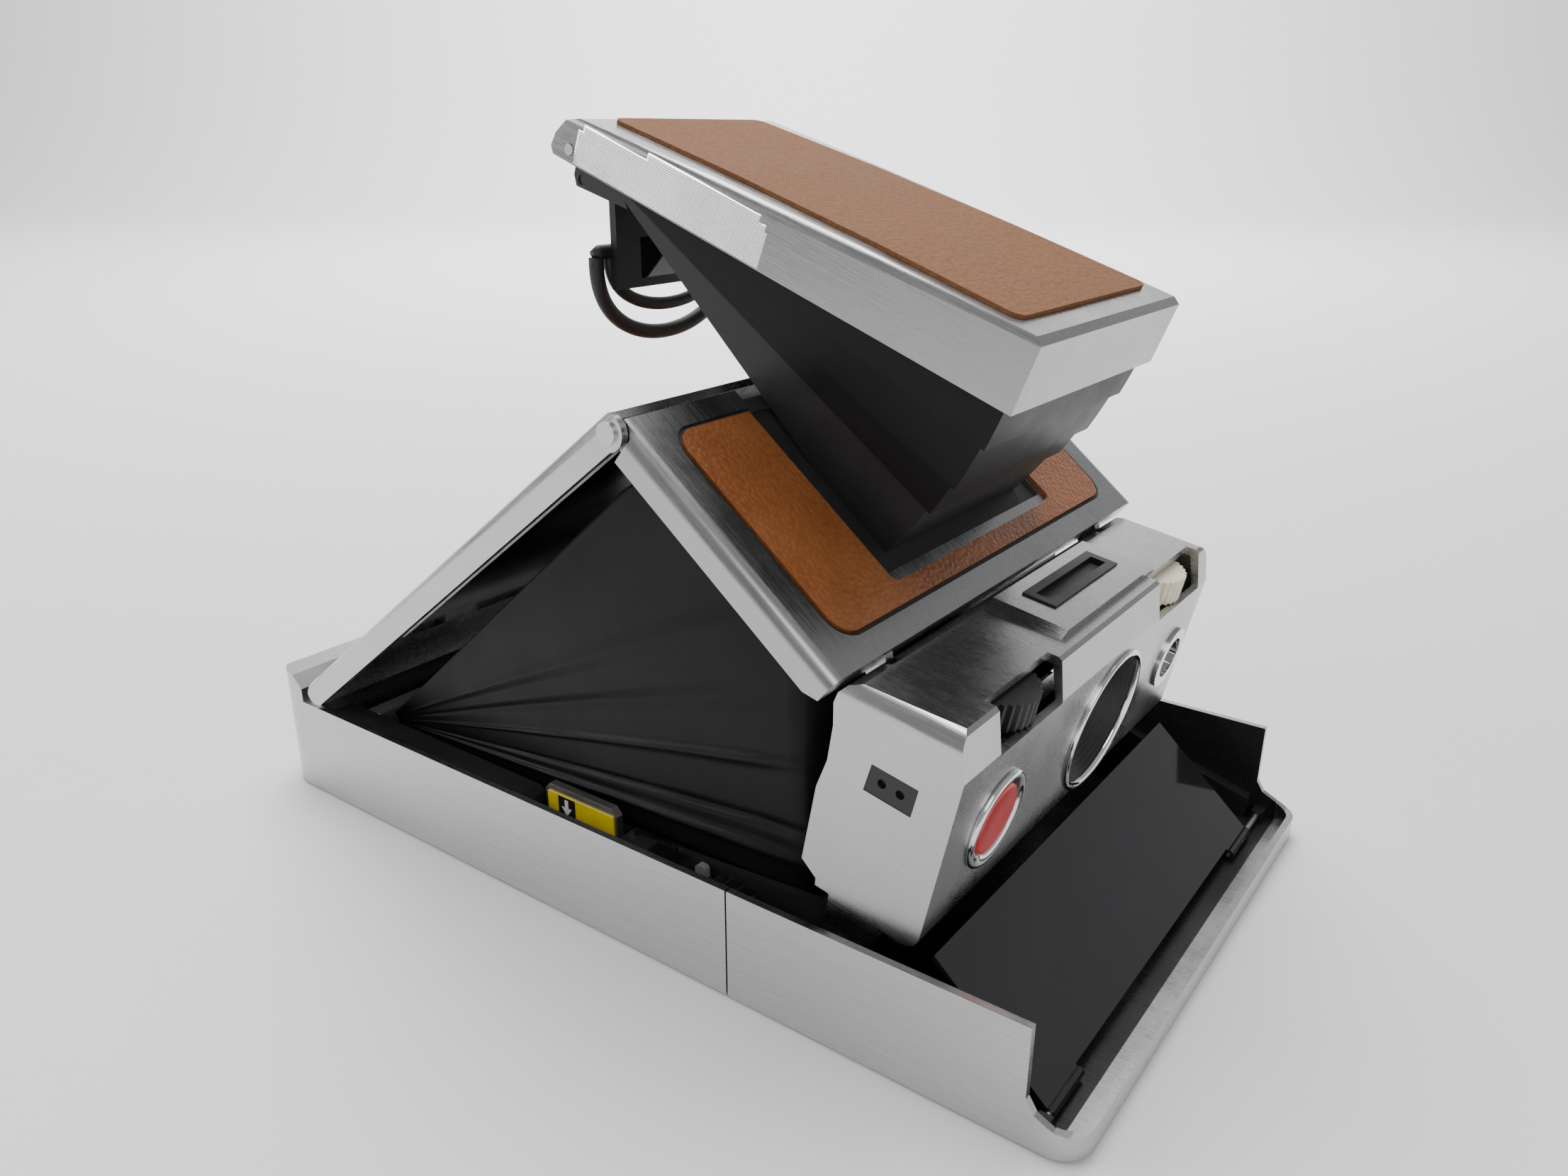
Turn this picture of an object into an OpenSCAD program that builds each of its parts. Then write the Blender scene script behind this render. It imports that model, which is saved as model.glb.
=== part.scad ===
// Folding instant camera, standing erected on its base.
// +X points to the lens, +Y to the camera's left side, +Z up.
// The origin is the middle of the base's underside.

/* [Base] */
// Length of the closed base, rear end to front wall
base_len = 178; // [176:1:180]
// Width over the metal side walls
base_w = 104; // [102:1:106]
// Height of the side walls
wall_h = 19.7; // [19:0.1:20.2]
// Thickness of the metal side walls
wall_t = 1.2; // [1:0.1:1.4]
// Distance of the split between base and film door from the origin
split_x = 30.6; // [30:0.1:31]
// Height of the rear end cap
cap_end_h = 25; // [24:0.5:26]

/* [Covers] */
// Slope of the rear cover
rear_slope = 37.52; // [37:0.01:38]
// Slope of the front cover
front_slope = 39; // [38:0.1:40]
// Length of the front cover from the apex pin to its front face
front_len = 47.7; // [47:0.1:48]
// Thickness of both metal covers
cover_t = 5.3; // [5:0.1:5.5]

/* [Viewfinder] */
// Slope of the viewfinder cap's lower edge
cap_slope = 20.9; // [20:0.1:21.5]
// Width of the viewfinder cap
cap_w = 51.4; // [50:0.2:52]
// Height of the cap at its front face
cap_h = 10.6; // [10:0.1:11]
// Thickness of the collapsing hoods' walls
hood_t = 0.6; // [0.5:0.05:0.65]

/* [Lens housing] */
// Forward lean of the lens housing's front face
lens_lean = 11.75; // [11.5:0.05:12]
// Width of the lens housing
lens_w = 95; // [94:0.5:96]
// Radius of the bright lens ring
ring_r = 13.2; // [12.5:0.1:13.4]
// How far the rings stand out of the front face
ring_out = 0.6; // [0.3:0.1:0.6]

/* [Hidden] */
$fn = 64;
gap = 0.3;
leather_t = 0.5;
half_w = base_w / 2;
in_half = half_w - wall_t;
rear_x = -base_len / 2;
front_x = base_len / 2;
floor_t = 0.7;
floor_top = leather_t + floor_t;
rear_pivot = [-73.2, 22.8];
apex = [10.8, 87.3];
cap_pivot = [-20.4, 124.1];
housing_pivot = [48.4, 52.3];
eye_pivot = [-22, 119.4];
strut_pivot = [-22, 17];
strut_len = 55;
strut_slope = 66;
face_foot = [61.3, 20.8];
panel_pivot = [82.3, 2.5];
panel_slope = 42.2;
panel_len = 25.5;
rear_len = norm(apex - rear_pivot);
under = -2.4;
over = cover_t + under;
metal_r = 2.9;
door_axis = [31, leather_t];
top_front = [66.3, 54.5];
top_slope = 10.4;
pocket_r = 4.5;
edge_r = 2.2;
brow_r = 3;
cap_edge_r = 1.6;
cap_rise = 2.74;
cap_crest = 5.57;
groove = 0.7;
gear_module = 0.7;
roller_pos = [37, 6];
gear_pos = [27.3, 10];
pinion_pos = [16.8, 10];
gear_y = -49.2;
gear_w = 3;
dial_at = [-82.5, -26];
screw_x = [-70, 20];
pin_play = 0.06;

// Prism that stands across the camera, from y0 to y1, on an outline drawn in X and Z
module span(y0, y1) {
  translate([0, y1, 0]) rotate([90, 0, 0]) linear_extrude(y1 - y0) children();
}

// The same prism on both sides, from y0 out to y1
module both_sides(y0, y1) {
  span(y0, y1) children();
  span(-y1, -y0) children();
}

// Round bar across the camera
module bar(r, y0, y1, at = [0, 0]) {
  translate([at[0], y1, at[1]]) rotate([90, 0, 0]) cylinder(r = r, h = y1 - y0);
}

// Box from its lowest corner to its highest
module block(low, high) {
  translate(low) cube(high - low);
}

// Long bar along X whose two upper edges are rounded, for trimming a cover's sides
module round_topped(half, top, r, x0, x1) {
  translate([x0, 0, 0]) rotate([90, 0, 90]) linear_extrude(x1 - x0) {
    translate([-half, -60]) square([2 * half, 60 + top - r]);
    translate([r - half, -60]) square([2 * (half - r), 60 + top]);
    for (y = [r - half, half - r])
      translate([y, top - r]) circle(r);
  }
}

// Flat outline with rounded corners, from its lowest corner to its highest
module plate(low, high, r) {
  offset(r) offset(-r) translate(low) square(high - low);
}

module rounded_box(size, r) {
  linear_extrude(size[2]) offset(r) offset(-r) square([size[0], size[1]], center = true);
}

// Frames of the parts that stand at a slope
module rear_frame() {
  translate([rear_pivot[0], 0, rear_pivot[1]]) rotate([0, -rear_slope, 0]) children();
}

module front_frame() {
  translate([apex[0], 0, apex[1]]) rotate([0, front_slope, 0]) children();
}

module cap_frame() {
  translate([cap_pivot[0], 0, cap_pivot[1]]) rotate([0, cap_slope, 0]) children();
}

module lens_frame() {
  translate([face_foot[0], 0, face_foot[1]]) rotate([0, lens_lean, 0]) children();
}

// Toothed wheel with slim straight-flanked teeth
module toothed(count, w, bore_r, phase = 0) {
  pitch_r = gear_module * count / 2;
  root_r = pitch_r - 1.2 * gear_module;
  tip_r = pitch_r + 0.85 * gear_module;
  half_root = 0.8 * gear_module;
  half_tip = 0.25 * gear_module;
  difference() {
    linear_extrude(w) union() {
      circle(root_r);
      for (i = [0 : count - 1])
        rotate(phase + i * 360 / count)
          polygon([[root_r * 0.9, -half_root], [tip_r, -half_tip], [tip_r, half_tip],
            [root_r * 0.9, half_root]]);
    }
    translate([0, 0, -1]) cylinder(r = bore_r, h = w + 2);
  }
}

module across(at, y) {
  translate([at[0], y, at[1]]) rotate([-90, 0, 0]) children();
}

// ---- Base ----

module base_outline(inset) {
  offset(delta = -inset) difference() {
    translate([rear_x, -half_w]) offset(9) offset(-9) square([base_len + 20, base_w]);
    translate([split_x - 0.15 + inset, -base_w]) square([base_len, base_w * 2]);
  }
}

module base_shell() {
  color("silver") difference() {
    union() {
      difference() {
        union() {
          translate([0, 0, leather_t]) linear_extrude(wall_h - leather_t) base_outline(0);
          intersection() {
            translate([0, 0, leather_t]) linear_extrude(cap_end_h - leather_t) base_outline(0);
            span(-half_w, half_w) polygon([[rear_x, 0], [-78, 0], [-78, 22.5], [-80.5, cap_end_h],
                                           [-86, cap_end_h], [rear_x, cap_end_h - 3]]);
          }
        }
        translate([0, 0, floor_top]) linear_extrude(cap_end_h) intersection() {
          base_outline(wall_t);
          translate([-77, -half_w]) square([base_len, base_w]);
        }
        block([-87.6, -in_half + 6, floor_top], [-79, in_half - 6, cap_end_h - 1.2]);
        block([-80, -30, floor_top], [-76, 30, 14]);
      }
      for (x = screw_x, y = [-42, 42])
        translate([x, y, leather_t]) cylinder(r = 1.9, h = 13 - leather_t);
      translate([dial_at[0], dial_at[1], leather_t]) cylinder(r = 1.6, h = 20.5);
      translate([dial_at[0], dial_at[1], leather_t]) cylinder(r = 0.8, h = 22.1);
    }
    translate([-83, 0, 0]) cylinder(r = 4.6, h = 6);
    translate([dial_at[0], dial_at[1], cap_end_h - 1.3]) cylinder(r = 4.3, h = 4);
    for (x = screw_x, y = [-42, 42])
      translate([x, y, 6]) cylinder(r = 1, h = 10);
  }
}

module base_leather() {
  color("sienna") translate([-26.5, 0, 0]) rounded_box([101, 94, leather_t], 4);
}

module tripod_bush() {
  color("gray") translate([-83, 0, leather_t]) difference() {
    cylinder(r = 4.6, h = 5.4);
    translate([0, 0, -1]) cylinder(r = 3.175, h = 5.4);
  }
}

module counter_dial() {
  color("white") translate([dial_at[0], dial_at[1], 21.05]) difference() {
    cylinder(r = 3.2, h = 1);
    translate([0, 0, -1]) cylinder(r = 0.8 + pin_play, h = 3);
  }
}

module counter_window() {
  color("lightgray") translate([dial_at[0], dial_at[1], cap_end_h - 1.2]) cylinder(r = 4.3, h = 0.9);
}

// Moulded chassis: rails along both walls, the picture frame, the gear plate
// and the arms of the lens housing's hinge
module inner_frame() {
  color("dimgray") difference() {
    union() {
      span(-in_half + gap, -46.2) polygon([[-72, 13.5], [-14.5, 13.5], [-14.5, 18.6], [-16, 19.6],
                                           [-70, 19.6], [-72, 18]]);
      span(-in_half + gap, -46.2) polygon([[4.5, 13.5], [12, 13.5], [12, 18.3], [6, 18.3], [4.5, 16]]);
      span(47.3, in_half - gap) polygon([[-72, 13.5], [12, 13.5], [12, 18.3], [10, 19.6], [-70, 19.6],
        [-72, 18]]);
      block([-75, -in_half + gap, 13], [22, in_half - gap, 14]);
      both_sides(44, 45.4) polygon([[14, 13.5], [14, 17.2], [45, 19.4], [51.5, 17.5], [51.5, 14],
        [48, 12.6],
                                    [30, 12.6], [30, 13.5]]);
      span(-45.4, -44) polygon([[9, 4], [30, 4], [30, 13.6], [9, 13.6]]);
      bar(1 - pin_play, -49.6, -44.5, gear_pos);
      bar(1.2, 44.8, 48, strut_pivot);
      span(47.3, 48) translate(strut_pivot) translate([-2, -4]) square([4, 5.5]);
    }
    block([-64, -39, 12], [14, 39, 15]);
    block([-14.4, -51, 12], [4.4, -45, 15]);
    bar(1.5 + pin_play, -50, 50, [48.3, 16]);
    bar(1.6, -46, -43, pinion_pos);
    for (x = screw_x, y = [-42, 42])
      translate([x, y, 12]) cylinder(r = 1.05, h = 3);
    across([gear_pos[0], gear_pos[1]], -50) difference() {
      cylinder(r = 8.2, h = 4.5);
      cylinder(r = 2, h = 20, center = true);
    }
    across([pinion_pos[0], pinion_pos[1]], -50) cylinder(r = 4.6, h = 4.5);
  }
}

module frame_screws() {
  color("silver") for (x = screw_x, y = [-42, 42])
    translate([x, y, 0]) {
      translate([0, 0, 7]) cylinder(r = 1, h = 7.2);
      translate([0, 0, 14]) cylinder(r1 = 1.9, r2 = 1.6, h = 0.8);
    }
}

// Can motor with its gearbox and output shaft
module drive_motor() {
  color("gray") {
    translate([-26, -44.6, 7]) rotate([0, 90, 0]) cylinder(r = 5.2, h = 30);
    block([3.8, -43.8, 2.5], [17.8, -39.8, 12.4]);
    bar(0.8, -49.4, -43.5, pinion_pos);
  }
}

module motor_pinion() {
  color("gold") across(pinion_pos, gear_y) toothed(10, gear_w, 0.8 + pin_play, 18);
}

module drive_gear() {
  color("black") across(gear_pos, gear_y) toothed(20, gear_w, 1, 0);
}

module mirror_carrier() {
  color("black") translate([-25, 0, 14]) difference() {
    rounded_box([84, 86, 1.2], 3);
    translate([0, 0, 0.5]) rounded_box([78, 78, 2], 1);
  }
}

module viewing_mirror() {
  color("lightblue") translate([-25, 0, 14.5]) rounded_box([77.6, 77.6, 0.65], 1);
}

// Folded rubber hood between the chassis and the two covers, open below
module bellows() {
  outer = [[-62, 16], [-54, 30.5], [4, 75.8], [10, 80], [14, 77.5], [38.5, 56.5], [39.5, 30],
    [38, 21], [20, 16]];
  color("black") difference() {
    span(-43.2, 43.2) polygon(outer);
    span(-42.4, 42.4) offset(delta = -0.8) polygon(concat(outer, [[20, 10], [-61, 10]]));
  }
}

module pick_arm() {
  color("gray") {
    block([-66, 41.2, 3], [-40, 42.2, 9]);
    block([-66, 38, 3], [-65, 41.5, 9]);
  }
}

module battery_contacts() {
  color("gold") for (y = [-12, 12])
    block([-60, y - 4, floor_top], [-46, y + 4, floor_top + 0.4]);
}

latch_profile = [[-13.6, 15.5], [3.4, 15.5], [3.4, 20], [2.2, 21.3], [-12.4, 21.3], [-13.6, 20]];

// Film door catch: a thumb slide behind the near wall
module door_latch() {
  color("gray") span(-46.9, -45.5) polygon(latch_profile);
}

module latch_label() {
  color("yellow") span(-47.2, -46.9) translate([-12.8, 15.7]) square([15.4, 4.2]);
}

// Erecting strut on the far side, beside the bellows
module support_strut() {
  color("gray") difference() {
    span(45.7, 46.9) hull() {
      translate(strut_pivot) circle(3, $fn = 32);
      translate(strut_pivot + strut_len * [cos(strut_slope), sin(strut_slope)]) circle(2.4, $fn = 32);
    }
    bar(1.2 + pin_play, 40, 50, strut_pivot);
  }
}

// ---- Film door ----

module door_outline(inset) {
  intersection() {
    offset(delta = -inset) offset(5) offset(-5) translate([-60, -half_w]) square([60 + front_x, base_w]);
    translate([split_x + 0.15, -half_w]) square([base_len, base_w]);
  }
}

module door_shell() {
  color("silver") difference() {
    union() {
      difference() {
        translate([0, 0, leather_t]) linear_extrude(wall_h - leather_t) door_outline(0);
        translate([0, 0, floor_top]) linear_extrude(wall_h) door_outline(wall_t);
        span(-60, 60) polygon([[80.9, 30], [80.9, 8.2], [82.2, 6.2], [85, 4.9], [87, 4.4], [95, 4.4],
          [95, 30]]);
      }
      bar(0.5, -40, 40, door_axis);
      both_sides(47.7, in_half + 0.1) polygon([[81.3, leather_t], [83.4, leather_t], [83.4, 3.4],
        [81.3, 3.4]]);
    }
    bar(0.5, -in_half, -40, panel_pivot);
    bar(0.5, 40, in_half, panel_pivot);
  }
}

module door_leather() {
  color("sienna") translate([59.5, 0, 0]) rounded_box([52, 94, leather_t], 4);
}

module door_liner() {
  color("dimgray") both_sides(48.3, in_half) polygon([[43.5, floor_top], [80, floor_top], [80, 5.2],
    [60, 11],
                                                     [43.5, 16]]);
}

// Side plates that carry the rollers
module roller_brackets() {
  color("gray") difference() {
    both_sides(41, 42.2) polygon([[33, floor_top], [41, floor_top], [41, 13], [39, 15.2], [35, 15.2],
      [33, 13]]);
    for (z = [roller_pos[1], roller_pos[1] + 5.8])
      bar(1 + pin_play, -50, 50, [roller_pos[0], z]);
  }
}

module lower_roller() {
  color("silver") {
    bar(2.8, -40.6, 40.6, roller_pos);
    bar(1, -49.3, 42.4, roller_pos);
    across(roller_pos, gear_y) toothed(10, gear_w, 0.5, 18);
  }
}

module upper_roller() {
  color("silver") {
    bar(2.8, -40.6, 40.6, roller_pos + [0, 5.8]);
    bar(1, -42.4, 42.4, roller_pos + [0, 5.8]);
  }
}

// Black panel below the lens, hinged on the door's front edge
module front_panel() {
  color("black") translate([panel_pivot[0], 0, panel_pivot[1]]) rotate([0, panel_slope, 0]) difference() {
    union() {
      block([-panel_len, -46.8, -0.35], [-1.1, 41, 0.35]);
      for (y = [-46.8, 31])
        block([-1.2, y, -0.35], [0, y + 10, 0.35]);
      for (y = [-46.8, 31])
        bar(0.85, y, y + 10);
    }
    bar(0.5 + 0.05, -50, 50);
  }
}

module panel_pins() {
  color("silver") {
    bar(0.5, -49.5, -37.5, panel_pivot);
    bar(0.5, 31.5, 49.5, panel_pivot);
  }
}

// ---- Covers ----

// Rear cover: a pressed metal tray with its open side inwards
module rear_cover() {
  color("silver") rear_frame() difference() {
    intersection() {
      round_topped(half_w, over, edge_r, -10, rear_len + 10);
      union() {
        span(-half_w, half_w) {
          translate([0, 0.25]) circle(2.65);
          translate([0, under]) square([rear_len - 0.2, cover_t]);
        }
        both_sides(in_half, half_w) translate([rear_len, 0]) circle(metal_r - 0.1);
      }
    }
    span(-in_half, in_half) translate([-0.6, under - 1]) square([rear_len + 5, cover_t + 1 - 1.3]);
    both_sides(in_half - 1, half_w + 1) difference() {
      translate([rear_len - 0.3, -6]) square([10, 12]);
      translate([rear_len, 0]) circle(metal_r - 0.1);
    }
    translate([0, 0, over - 0.5]) linear_extrude(2) plate([5, -48], [rear_len - 5, 48], pocket_r);
    bar(0.8, -60, 60, [rear_len, 0]);
  }
}

module rear_leather() {
  color("sienna") rear_frame() translate([0, 0, over - 0.5]) linear_extrude(0.6)
    offset(delta = -groove) plate([5, -48], [rear_len - 5, 48], pocket_r);
}

module taking_mirror() {
  color("lightblue") rear_frame() span(-40, 40) translate([18, over - 1.3 - 1]) square([78, 1]);
}

module apex_pins() {
  color("silver") for (side = [-1, 1])
    if (side < 0) {
      bar(0.8, -half_w, -48.8, apex);
      bar(1.7, -half_w - 0.5, -half_w, apex);
    } else {
      bar(0.8, 48.8, half_w, apex);
      bar(1.7, half_w, half_w + 0.5, apex);
    }
}

lip_face = [[3.4, under], [front_len - 2.4, under], [front_len, -1.3], [front_len, over], [0.3, over],
  [0.3, 1.6],
            [3.4, 1.6]];

// Front cover with the well for the viewfinder and two lugs for the lens housing's hinge
module front_cover() {
  pin = [51.24, -3.54];
  color("silver") difference() {
    union() {
      front_frame() difference() {
        union() {
          intersection() {
            round_topped(half_w, over, edge_r, -10, front_len + 10);
            span(-half_w, half_w) polygon(lip_face);
          }
          both_sides(49.2, 50.6) polygon([[0, -1.5], [12, -1.5], [12, 2], [3.3, 2], [1.2, 1], [0, 1.5]]);
          both_sides(49.2, 50.6) circle(1.5);
        }
        span(-in_half, in_half) difference() {
          translate([-5, -10]) square([front_len + 3.6, 11.6]);
          translate([-5, -10]) square([17, 11.6]);
        }
        span(-49.2, 49.2) translate([-5, -10]) square([17.01, 11.6]);
        both_sides(50.6, 60) translate([-5, -10]) square([8.4, 20]);
        translate([0, 0, over - 0.5]) linear_extrude(3) plate([4, -45.2], [front_len - 4, 45.2], pocket_r);
        span(-25.9, 25.9) translate([-1, -5]) square([38.6, 12]);
        bar(0.8 + pin_play, -60, 60);
      }
      front_frame() both_sides(36, 38) {
        translate(pin) circle(1.6);
        polygon([pin + [-1.4, -0.9], pin + [1.1, 1.1], [front_len - 0.1, 1.5], [44, 1.7], [44, -1.5]]);
      }
    }
    front_frame() bar(0.9 + pin_play, -60, 60, pin);
  }
}

module front_leather() {
  color("sienna") front_frame() translate([0, 0, over - 0.5]) linear_extrude(0.7) difference() {
    offset(delta = -groove) plate([4, -45.2], [front_len - 4, 45.2], pocket_r);
    offset(1.5) offset(-1.5) translate([-6, -26.9]) square([45.6, 53.8]);
  }
}

// ---- Viewfinder ----

function ray_at(r, a) = [cap_pivot[0] + r * cos(a), cap_pivot[1] - r * sin(a)];

module wedge(r, a1, a2) {
  polygon(concat([cap_pivot], [for (i = [0 : 6]) ray_at(r, a1 + (a2 - a1) * i / 6)]));
}

// One collapsing hood: two thin sides joined by a curved front wall, turning on the cap's pivot
module hood(r, w, a1, a2) {
  difference() {
    union() {
      span(-w, w) wedge(r, a1, a2);
      both_sides(w - hood_t, w) translate(cap_pivot) circle(2);
    }
    span(-w + hood_t, w - hood_t) wedge(r - hood_t, a1 - 8, a2 + 8);
    span(-w + hood_t, w - hood_t) translate(cap_pivot) circle(3);
    bar(0.9 + pin_play, -30, 30, cap_pivot);
  }
}

module viewfinder_frame() {
  color("dimgray") {
    difference() {
      union() {
        span(-21.7, 21.7) wedge(82.1, 36, 45.5);
        both_sides(21.1, 21.7) polygon([cap_pivot + [0, 2], cap_pivot + [-2, 0], [-23.8, 120.2],
          [-23.4, 118.4],
                                       [-21.4, 117.8], [-12, 115], cap_pivot + [3, 0]]);
      }
      span(-21.1, 21.1) wedge(81.5, 25, 55);
      span(-21.1, 21.1) translate(cap_pivot + [0, -4]) circle(9);
      bar(0.9, -30, 30, cap_pivot);
      bar(0.8 + pin_play, -30, 30, eye_pivot);
    }
    front_frame() difference() {
      span(-27.5, 27.5) translate([1.5, 0.4]) square([37.6, 1.2]);
      span(-18, 18) translate([8, -1]) square([24, 4]);
    }
  }
}

module lower_hood() {
  color("black") hood(83, 22.6, 31.8, 36.5);
}

module middle_hood() {
  color("black") hood(83.9, 23.5, 26.3, 32.3);
}

module upper_hood() {
  color("black") hood(84.8, 24.4, 22, 26.8);
}

cap_skin = 1.1;
cap_front = 86.3;
cap_low = -2;
cap_top = [[0.5, 5.1], [28, 6.9], [56, 8.2], [82, 9]];

module cap_profile(inset) {
  offset(delta = -inset) polygon([[-4.2, -0.9], [-3.4, cap_low], [cap_front, cap_low],
                                  [cap_front, cap_low + cap_h - 0.4],
                                    [cap_front - 1.2, cap_low + cap_h + 0.5],
                                  cap_top[3], cap_top[2], cap_top[1], cap_top[0], [-2, 4], [-3.7, 1.4]]);
}

// Hinged viewfinder cap, open below, with the ribbed grips on its sides
module viewfinder_cap() {
  color("silver") cap_frame() difference() {
    intersection() {
      rotate([0, -cap_rise, 0]) round_topped(cap_w / 2, cap_crest, cap_edge_r, -10, 100);
      span(-cap_w / 2, cap_w / 2) cap_profile(0);
    }
    span(-cap_w / 2 + cap_skin, cap_w / 2 - cap_skin) {
      cap_profile(cap_skin);
      translate([-2.3, cap_low - 1]) square([cap_front - cap_skin + 2.3, 3]);
    }
    bar(0.9 + pin_play, -60, 60);
  }
}

module cap_leather() {
  color("peru") cap_frame() intersection() {
    span(-30, 30) polygon(concat([for (p = cap_top) p], [for (i = [3 : -1 : 0]) cap_top[i] + [0, 0.6]]));
    translate([0, 0, -5]) linear_extrude(30) offset(2) offset(-2)
      polygon([[1.8, -19.4], [81, -22.8], [81, 22.8], [1.8, 19.4]]);
  }
}

module cap_pins() {
  color("silver") {
    bar(0.9, -cap_w / 2 - 0.3, -20.9, cap_pivot);
    bar(0.9, 20.9, cap_w / 2 + 0.3, cap_pivot);
  }
}

module cap_mirror() {
  color("lightblue") cap_frame() span(-20, 20) polygon([[30, 5.3], [30, 5.85], [56, 7.05], [80, 7.8],
    [80, 7.2]]);
}

module eyepiece_frame() {
  color("black") difference() {
    union() {
      block([-22.7, -15, 101], [-21.3, 17, eye_pivot[1]]);
      bar(0.8, -21.5, 21.5, eye_pivot);
    }
    block([-24, -9, 102.5], [-20, 11, 109.5]);
  }
}

module eyepiece_lens() {
  color("lightcyan") block([-22.5, -9, 102.5], [-21.5, 11, 109.5]);
}

// Soft eye surround with a see-through slot
module eyecup() {
  color("black") translate([-22.7, 1, 0]) rotate([0, -90, 0]) linear_extrude(2.6) difference() {
    intersection() {
      translate([110, 0]) circle(19);
      translate([80, -30]) square([31, 60]);
    }
    intersection() {
      translate([111, 0]) circle(12.5);
      translate([80, -30]) square([30, 60]);
    }
    difference() {
      translate([110, 0]) circle(17.4);
      translate([111, 0]) circle(14.6);
      translate([103, -30]) square([60, 60]);
    }
  }
}

// ---- Lens housing ----

housing_side = [[57.8, 20], [59.6, 20.1], [60.7, 20.6], [61.45, 21.7], [66.96, 48.2], top_front,
                [65.7, 55.1], [50.5, 57.5], [48.6, 57.1], [47.3, 55.9], [46.6, 54.2], [46.6, 50.7],
                [45.7, 45], [43.9, 40.3], [41.5, 27.5], [44, 25], [43.9, 23.8], [45.8, 23.4]];
housing_core = [[50.5, 56.1], [64.9, 53.7], [65.7, 48.3], [60.1, 21.7], [57.8, 21.3], [46, 24.7], [46, 26],
                [40, 26.5], [40, 48], [47.9, 50.4], [47.9, 54.8], [49, 55.7]];
lens_at = [8, 13.6];
button_at = [-31.5, 14];
cell_at = [38.3, 14.5];
focus_y = -27;
exposure_y = 33;
wheel_r = 7.8;
wheel_axis = -8.4;
wheel_low = 27.9;
wheel_high = 32.3;

module on_face(at) {
  lens_frame() translate([0, at[0], at[1]]) rotate([0, 90, 0]) children();
}

module top_frame() {
  translate([top_front[0], 0, top_front[1]]) rotate([0, top_slope, 0]) children();
}

module lens_housing() {
  color("black") difference() {
    union() {
      difference() {
        intersection() {
          top_frame() round_topped(lens_w / 2, 0.55, brow_r, -40, 15);
          span(-lens_w / 2, lens_w / 2) polygon(housing_side);
        }
        span(-lens_w / 2 + 1.3, lens_w / 2 - 1.3) polygon(housing_core);
      }
      both_sides(45.6, 47.4) hull() {
        translate([48.3, 16]) circle(3, $fn = 32);
        polygon([[46.5, 23.6], [56, 21], [56, 22], [46.5, 24.6]]);
      }
      both_sides(33, 41) translate(housing_pivot) circle(1.9);
      both_sides(33, 35.6) polygon([[46.7, 51], [50.3, 51], [52, 57], [48.6, 56.9], [46.7, 54]]);
      both_sides(38.4, 41) polygon([[46.7, 51], [50.3, 51], [52, 57], [48.6, 56.9], [46.7, 54]]);
      top_frame() translate([-15.7, 0, 0]) rotate([90, 0, 90]) linear_extrude(13)
        polygon([[-12.5, -0.5], [27.5, -0.5], [27.5, 0], [24.8, 1.5], [-9.8, 1.5], [-12.5, 0]]);
      for (y = [focus_y, exposure_y])
        lens_frame() translate([wheel_axis, y, wheel_low + 0.3]) cylinder(r = 1.5, h = 5.4);
    }
    both_sides(35.7, 38.3) translate(housing_pivot) circle(5.4);
    bar(0.9, -41.5, -32, housing_pivot);
    bar(0.9, 32, 41.5, housing_pivot);
    bar(1.5, -50, 50, [48.3, 16]);
    on_face(lens_at) translate([0, 0, -6]) cylinder(r = ring_r - 1, h = 10);
    on_face(button_at) translate([0, 0, -3]) cylinder(r = 7, h = 10);
    on_face(cell_at) translate([0, 0, -3]) cylinder(r = 5, h = 10);
    for (y = [focus_y, exposure_y])
      lens_frame() translate([-4.5, y - 10, 27.6]) cube([9, 20, 14]);
    top_frame() block([-13.2, -4.6, 0.3], [-7.3, 20.5, 4]);
    span(-60, -46) polygon([[53, 46.8], [60.4, 45.2], [59.3, 40.7], [51.7, 42.4]]);
  }
}

module housing_back() {
  color("dimgray") difference() {
    span(-46.2, 46.2) polygon([[46.7, 49.6], [45.9, 45], [44.1, 40.3], [41.9, 28.2], [43.2, 27.6],
      [45.4, 40],
                               [47.2, 44.8], [47.9, 49.4]]);
    span(-24, 24) polygon([[38, 30], [50, 30], [50, 46], [38, 46]]);
    both_sides(35.5, 38.5) translate([36, 43]) square([14, 10]);
  }
}

module lens_ring() {
  color("silver") on_face(lens_at) difference() {
    union() {
      cylinder(r = ring_r, h = ring_out);
      translate([0, 0, -1.5]) cylinder(r = ring_r - 1, h = 1.6);
      translate([0, 0, -5.5]) cylinder(r = 9, h = 5);
    }
    translate([0, 0, -1]) cylinder(r = ring_r - 2.4, h = 4);
    translate([0, 0, -7]) cylinder(r = 6.6, h = 12);
  }
}

module lens_glass() {
  color("lightblue") on_face(lens_at) translate([0, 0, -4.6]) cylinder(r = 6.6, h = 2.4);
}

module button_ring() {
  color("silver") on_face(button_at) difference() {
    union() {
      cylinder(r = 8, h = ring_out);
      translate([0, 0, -1.3]) cylinder(r = 7, h = 1.4);
    }
    translate([0, 0, -3]) cylinder(r = 5.85, h = 6);
  }
}

// Release button: a flat disc that slides inwards
module shutter_button() {
  color("red") on_face(button_at) {
    translate([0, 0, -2]) cylinder(r = 5.8, h = 2 + ring_out - 0.1);
    translate([0, 0, -2.6]) cylinder(r = 6.8, h = 0.9);
  }
}

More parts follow.
